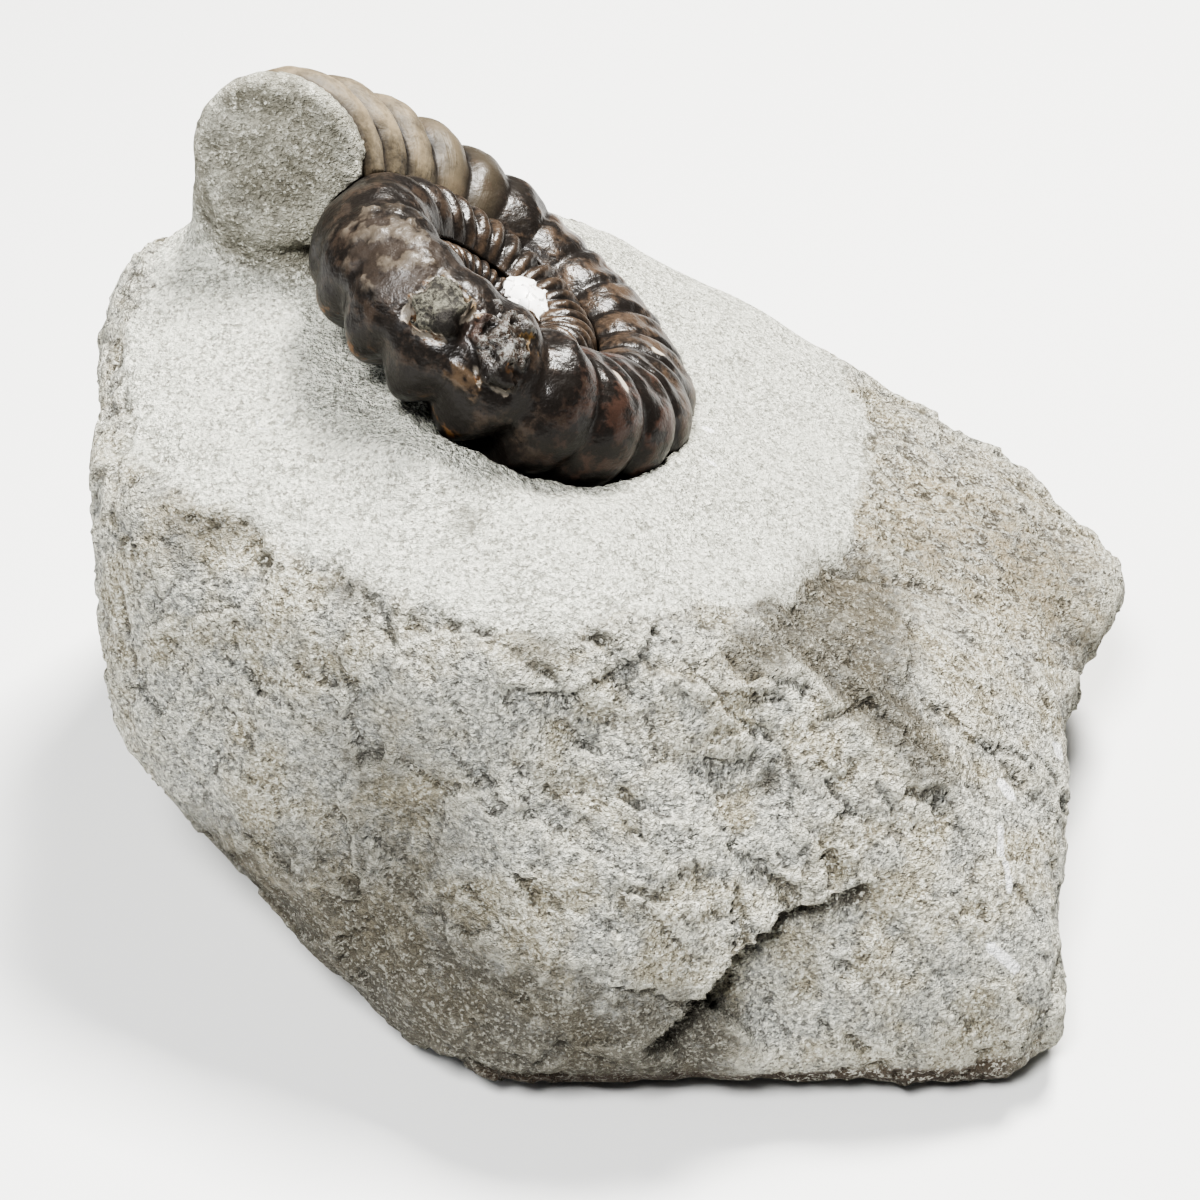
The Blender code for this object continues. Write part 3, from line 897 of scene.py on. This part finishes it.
def stretched(place, along, factor):
    """The place with lengths along one direction made shorter, which draws a pattern out along it."""
    along = Vector(along).normalized()
    return plus(place, scaled(along, measured(place, "DOT_PRODUCT", along) * (factor - 1)))


def near(place, centre, reach):
    """1 at the centre, falling to about a third one reach away. Both are in millimetres."""
    return bell(measured(place, "DISTANCE", Vector(centre) * MM), 0, reach * MM)


# Swells, leaning facets and flakes, crumbs and grain on the broken stone, and bites out of its upper rim
tree, shape, size = begin_geometry("nodule surface", STONE_SIZES)
place = here(tree)
seat = kept_value(tree, "seat")
plug = kept_value(tree, "plug")
from_rim = kept_value(tree, "inside") + (clouds(place, 5 * MM, 4, 0.65) - 0.5) * 6
broken = step_between(from_rim, 0.7, -0.4).turned("MAXIMUM", plug * 0.4)
bites = step_between(clouds(place, 2.4 * MM, 4, 0.7), 0.5, 0.6) * bell(from_rim, -1.0, 1.5) * (1 - plug)
roughened = 0.16 + 0.84 * broken
flaky = 0.6 + 0.65 * near(place, FLAKY_PLACE, FLAKY_REACH)
swell = (clouds(place, 7 * MM, 2, 0.5) - 0.5) * size["Swell height"] * roughened
facets = chips(warped(place, 6 * MM, 4 * MM), 8 * MM, FACET_SLOPE) * broken
run = stretched(warped(place, 3 * MM, 1.8 * MM), FLAKE_RUN, 0.38)
flakes = chips(run, 3.4 * MM, FLAKE_SLOPE) * broken * flaky
small_run = stretched(warped(place, 1.5 * MM, 0.8 * MM), FLAKE_RUN, 0.55)
small_flakes = chips(small_run, 1.6 * MM, SMALL_FLAKE_SLOPE) * broken * (0.4 + 0.6 * flaky)
crumbs = clouds(stretched(place, FLAKE_RUN, 0.7), 1.3 * MM, 3, 0.65) - 0.5
crumbs = crumbs * size["Crumb height"] * 2 * roughened
grain = (clouds(place, 0.7 * MM, 2, 0.6) - 0.5) * size["Grain height"] * 2
calm = 1 - 0.45 * step_between(kept_value(tree, "ledge"), 0.0, 1.0)
lift = (swell + facets + flakes + small_flakes + crumbs + grain) * seat * calm
shape = kept(shape, broken=broken, bites=bites, tint=clouds(place, 6 * MM, 3, 0.6))
shape = pushed_out(shape, lift - bites * size["Rim bite depth"])
stone_mesh = run_geometry(nodule, shape, STONE_SIZES, limestone)

UNDERCUT_HEIGHT = 3.2 * MM
UNDERCUT_DEPTH = 0.7 * MM
UNDERCUT_TOWARDS = (0, 5 * MM, 0)
# The band low on the front, brown skin with painted shade, in millimetres: its top, and its ends from left to
# right
UNDER_TOP = 4.5
UNDER_ENDS = (-6, 31)
# White calcite flecks and veins: points in millimetres, and how much wider the white is than a hair line on
# each side, in millimetres, less than 0 for a finer one
FLECKS = (
    (((39.2, -15.6, 18.8), (39.5, -15.4, 18.4)), 0.65),
    (((33.8, -21.9, 21.1), (34.2, -22.3, 20.4)), 0.6),
    (((32.9, -25.9, 19.6), (33.0, -28.1, 18.2), (33.3, -30.0, 16.8)), 0.25),
    (((31.7, -33.9, 14.1), (33.8, -34.4, 12.2)), 0.3),
    (((9.5, 11.2, 33.1), (9.9, 11.2, 33.1)), 0.3),
    (((9.1, 6.0, 33.9), (9.5, 5.4, 33.6), (10.0, 5.5, 33.5)), 0.15),
    (((-29.1, 0.7, 42.8), (-28.6, -1.7, 42.5), (-26.9, -1.2, 42.7), (-25.1, 1.9, 43.1)), -0.1),
)
# Brown and dark patches, partly stain and partly painted shade: place and reach in millimetres, and strength
STAIN_AND_SHADE_PATCHES = (
    ((21.5, -6.0, 29.5), 4.2, 2.2),
    ((17.2, -14.5, 32.3), 3.8, 2.4),
    ((20.5, -18.0, 30.2), 3.4, 2.0),
    ((24.0, -21.0, 27.6), 3.2, 1.7),
    ((27.0, -24.0, 25.0), 2.8, 1.0),
    ((12.5, -20.5, 34.0), 2.8, 1.2),
    ((24.0, -13.0, 28.5), 3.4, 0.9),
    ((-10.9, -12.4, 41.1), 1.3, 1.6),
    ((-18.5, -26.0, 29.0), 8.0, 0.4),
    ((-14.5, -30.0, 21.0), 8.0, 0.42),
    ((28.0, 2.0, 26.0), 6.0, 0.6),
    ((36.0, 12.0, 21.0), 7.0, 0.4),
    ((41.0, 4.0, 18.0), 8.0, 0.7),
    ((-4.5, -23.5, 37.2), 2.5, 0.8),
    ((-20.3, -17.8, 38.8), 2.2, 0.7),
    ((-29.1, -11.5, 40.1), 2.0, 0.7),
    ((-34.0, -12.0, 39.0), 3.0, 0.7),
    ((-38.0, -8.0, 39.0), 5.0, 0.35),
    ((6.5, -40.0, 9.0), 4.5, 1.6),
    ((13.5, -27.7, 27.0), 2.0, 0.6),
    # Painted shade low on the front, where the stone turns under
    ((0.0, -41.0, 7.0), 8.0, 1.3),
    ((-8.0, -40.0, 8.0), 8.5, 1.3),
    ((-16.4, -36.5, 8.0), 8.5, 1.3),
    ((-24.0, -31.0, 10.0), 8.0, 1.1),
    ((-31.0, -24.0, 14.0), 7.0, 0.8),
    ((28.0, -39.0, 3.5), 9.0, 0.35),
)

# The stone turns in at its base, which stays flat
places = vectors_of(stone_mesh)
undercut = np.clip(1 - places[:, 2] / UNDERCUT_HEIGHT, 0, 1) * np.clip(1 - places[:, 1] / (10 * MM), 0, 1)
inwards = np.array(UNDERCUT_TOWARDS) - places * (1, 1, 0)
inwards /= np.linalg.norm(inwards, axis=1)[:, None] + MM
places += inwards * (undercut * UNDERCUT_DEPTH)[:, None]
places[:, 2] = np.maximum(places[:, 2], 0)
set_places(stone_mesh, places)
stone_mesh.shade_smooth()
store_hollows(stone_mesh)

# Where the markings and the painted shade lie
level = places[:, 2] / MM
underside_skin_and_shade = np.clip(UNDER_TOP + 1 - level, 0, 1) * window_of(places[:, 0] / MM, *UNDER_ENDS, 8)
store(stone_mesh, "underside_skin_and_shade", underside_skin_and_shade * (places[:, 1] < 0))
stain_and_shade = np.zeros(len(places))
for centre, reach, strength in STAIN_AND_SHADE_PATCHES:
    away = np.linalg.norm(places / MM - np.array(centre), axis=1) / reach
    stain_and_shade += strength * np.exp(-away * away)
store(stone_mesh, "stain_and_shade", stain_and_shade)
from_fleck = np.full(len(places), 9.0)
for line, half_width in FLECKS:
    from_fleck = np.minimum(from_fleck, from_line(places, line) - half_width)
store(stone_mesh, "from_fleck", from_fleck)

COOL_GREY = (0.42, 0.426, 0.398)
WARM_GREY = (0.43, 0.39, 0.29)
PALE_GREY = (0.72, 0.7, 0.595)
CLEANED_PALE = (0.64, 0.64, 0.565)
CLEANED_SHADE = (0.43, 0.43, 0.375)
# A dark colour for painted shade in the crevices and the cleft, and for the dark grains
SHADE_AND_GRAIN_DARK = (0.10, 0.09, 0.072)
OLIVE_BITE_SHADE = (0.14, 0.13, 0.10)
STAIN_AND_SHADE_BROWN = (0.088, 0.077, 0.056)
PEPPER_DARK = (0.14, 0.12, 0.09)
PEPPER_TAN = (0.46, 0.385, 0.26)
FLECK_WHITE = (0.96, 0.96, 0.94)
PLUG_OLIVE_AND_SHADE = (0.125, 0.117, 0.09)
UNDERSIDE_SKIN_AND_SHADE = (0.075, 0.05, 0.032)
PAINTED_SPARKLE = (0.85, 0.84, 0.75)

# The middle of the brown-peppered stone on the right and its reach, in millimetres, and the way the plug's
# streaks run
PEPPERED = (33, 10, 23)
PEPPERED_REACH = 20
PLUG_RUN = (0.75, 0.1, -0.65)


def specks(place, pitch):
    """A number from 0 to 1 for each of many small cells about one pitch wide."""
    return Field(place.tree, voronoi(place, pitch).outputs["Color"])


tree = limestone.node_tree
place = object_place(tree)
broken = attribute_field(tree, "broken")
plug = attribute_field(tree, "plug")
tint = attribute_field(tree, "tint")
crevice = attribute_field(tree, "crevice")
hollow = attribute_field(tree, "hollow")
grit = clouds(place, 0.6 * MM, 3, 0.75)
mottle = clouds(place, 1.8 * MM, 2, 0.75) - 0.5
speckle = (specks(place, 0.22 * MM) - 0.5) * 0.8 + (grit - 0.5) * 1.6

# Broken stone: cool and warm greys under a paler crust, less of it in hollows as painted shade, brown patches
# and peppering
# Less of the pale crust in the wider hollows, a painted shade
pale_crust_and_painted_shade = step_between(speckle * 0.5 + mottle * 0.8 - hollow * 0.45, -0.3, 0.6)
stain_and_shade = attribute_field(tree, "stain_and_shade").turned("MINIMUM", 1.6) * (0.8 + mottle * 2.4 + speckle * 1.2)
stain_and_shade = step_between(stain_and_shade + mottle * 0.3, 0.05, 0.85)
peppered = near(place, PEPPERED, PEPPERED_REACH) * broken
colour = blend(step_between(tint + speckle * 0.15, 0.42, 0.58), COOL_GREY, WARM_GREY)
colour = blend(pale_crust_and_painted_shade * 0.9, colour, PALE_GREY)
colour = blend(stain_and_shade * 0.86, colour, STAIN_AND_SHADE_BROWN)
colour = blend(step_between(speckle + mottle * 2, 0.0, -0.35) * peppered * 0.9, colour, PEPPER_DARK)
colour = blend(step_between(mottle, -0.12, 0.1) * peppered * 0.7, colour, PEPPER_TAN)

# The cleaned top, and the olive-grey plug with its streaks, darkened further as painted shade on its face
shade = step_between((tint - 0.5) * 0.7 + mottle * 1.4 - speckle * 0.8, -0.15, 0.4)
cleaned_colour = blend(stain_and_shade * 0.4, blend(shade, CLEANED_PALE, CLEANED_SHADE), STAIN_AND_SHADE_BROWN)
colour = blend(broken, cleaned_colour, colour)
streaks = clouds(stretched(place, PLUG_RUN, 0.25), 1.4 * MM, 2) - 0.5
# Painted shade: the plug's face is darkened beyond its olive-grey
colour = blend(plug * (0.78 + mottle * 0.35 + streaks * 0.9), colour, PLUG_OLIVE_AND_SHADE)

# Painted shade in crevices, cleft and rim bites, painted edge highlights, and a brown underside with painted
# shade
# Painted highlight: paler on the edges that stand above their surroundings
painted_edge_highlight = step_between(speckle * 0.06 - crevice, 0.02, 0.11) * broken * (1 - 0.8 * stain_and_shade)
painted_cleft_shadow = step_between(attribute_field(tree, "cleft") + speckle * 0.5, 0.2, 0.8)
underside_skin_and_shade = step_between(attribute_field(tree, "underside_skin_and_shade") + speckle * 0.3, 0.1, 0.8)
# Painted shade: darker in the crevices
colour = blend(step_between(crevice - speckle * 0.05, 0.03, 0.16) * 0.5, colour, SHADE_AND_GRAIN_DARK)
colour = blend(painted_edge_highlight * 0.55, colour, PALE_GREY)
# Painted shadow below the cleft's edge
colour = blend(painted_cleft_shadow * 0.6, colour, SHADE_AND_GRAIN_DARK)
# The stone's brown skin low on the front, darkened as painted shade where it turns under
colour = blend(underside_skin_and_shade * 0.9, colour, UNDERSIDE_SKIN_AND_SHADE)
# Painted shade: the rim's bites are darkened olive
colour = blend(attribute_field(tree, "bites") * 0.75, colour, OLIVE_BITE_SHADE)

# Dark grains and painted sparkle highlights, finer on the plug, and the white flecks
speckle = speckle * (1 - 0.55 * plug)
dark_grains = step_between(speckle + mottle * 0.5 * broken, 0.05, -0.5)
painted_sparkles = step_between(speckle + mottle * 0.3, 0.03, 0.4) * (1 - 0.65 * stain_and_shade)
fleck = step_between(attribute_field(tree, "from_fleck") + speckle * 0.15, 0.28, 0.1)
colour = blend(dark_grains * (0.46 + 0.2 * broken), colour, SHADE_AND_GRAIN_DARK)
colour = blend(painted_sparkles * 0.9, colour, PAINTED_SPARKLE)
colour = blend(fleck, colour, FLECK_WHITE)
connect(tree, shader.inputs["Base Color"], colour)
shader.inputs["Roughness"].default_value = 0.86
shader.inputs["Specular IOR Level"].default_value = 0.3
add_bump(shader, grit * (1.5 + 1.0 * broken) * (1 - 0.5 * plug), MM)

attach(nodule, "root")
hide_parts("matrix_nodule")


# Floor, light and camera
# A plain pale floor and three soft lights: the main one from behind on the right, one in front that fills
# the broken side, and a weak one from the left. The camera is in front and looks down on the broken side.

FLOOR_HALF = 1.5
FLOOR_GREY = (0.62, 0.62, 0.61, 1)
floor_mesh = bpy.data.meshes.new("floor")
corners = [(-FLOOR_HALF, -FLOOR_HALF, 0), (FLOOR_HALF, -FLOOR_HALF, 0), (FLOOR_HALF, FLOOR_HALF, 0)]
floor_mesh.from_pydata(corners + [(-FLOOR_HALF, FLOOR_HALF, 0)], [], [(0, 1, 2, 3)])
floor = place_in_scene("floor", floor_mesh)
pale, tree, shader = new_material("pale floor")
shader.inputs["Base Color"].default_value = FLOOR_GREY
shader.inputs["Roughness"].default_value = 0.8
floor_mesh.materials.append(pale)

LOOK_AT = Vector((0, -3, 25)) * MM
# Azimuth and elevation in degrees, distance and width in metres, power in watts, and colour. Azimuth 0 is on
# the right, and 90 is behind.
LIGHTS = {
    "key": (62, 62, 0.55, 0.14, 7.5, (1.0, 0.985, 0.95)),
    "left window": (200, 35, 0.6, 0.25, 0.6, (0.93, 0.96, 1.0)),
    "front fill": (248, 60, 0.6, 0.16, 5.6, (1.0, 1.0, 1.0)),
}
SKY = (0.92, 0.95, 1.0, 1)
SKY_STRENGTH = 0.1
CAMERA_ELEVATION = 40
CAMERA_DISTANCE = 212 * MM
FOCAL_LENGTH = 72.2
SENSOR_WIDTH = 36


def aimed(thing, azimuth, elevation, distance):
    """Puts a light or the camera at this distance from the fossil, facing it."""
    turn = math.radians(azimuth)
    rise = math.radians(elevation)
    away = Vector((math.cos(rise) * math.cos(turn), math.cos(rise) * math.sin(turn), math.sin(rise)))
    thing.location = LOOK_AT + away * distance
    thing.rotation_euler = away.to_track_quat("Z", "Y").to_euler()


for name, (azimuth, elevation, distance, width, power, tone) in LIGHTS.items():
    lamp = bpy.data.lights.new(name, "AREA")
    lamp.size = width
    lamp.energy = power
    lamp.color = tone
    aimed(place_in_scene(name, lamp), azimuth, elevation, distance)
world = bpy.context.scene.world or bpy.data.worlds.new("room")
bpy.context.scene.world = world
bpy.context.scene.view_settings.look = "AgX - High Contrast"
world.use_nodes = True
world.node_tree.nodes["Background"].inputs["Color"].default_value = SKY
world.node_tree.nodes["Background"].inputs["Strength"].default_value = SKY_STRENGTH

camera = bpy.data.cameras.new("camera")
camera.sensor_width = SENSOR_WIDTH
camera.lens = FOCAL_LENGTH
camera.clip_start = 0.01
camera_holder = place_in_scene("camera", camera)
aimed(camera_holder, 270, CAMERA_ELEVATION, CAMERA_DISTANCE)
bpy.context.scene.camera = camera_holder
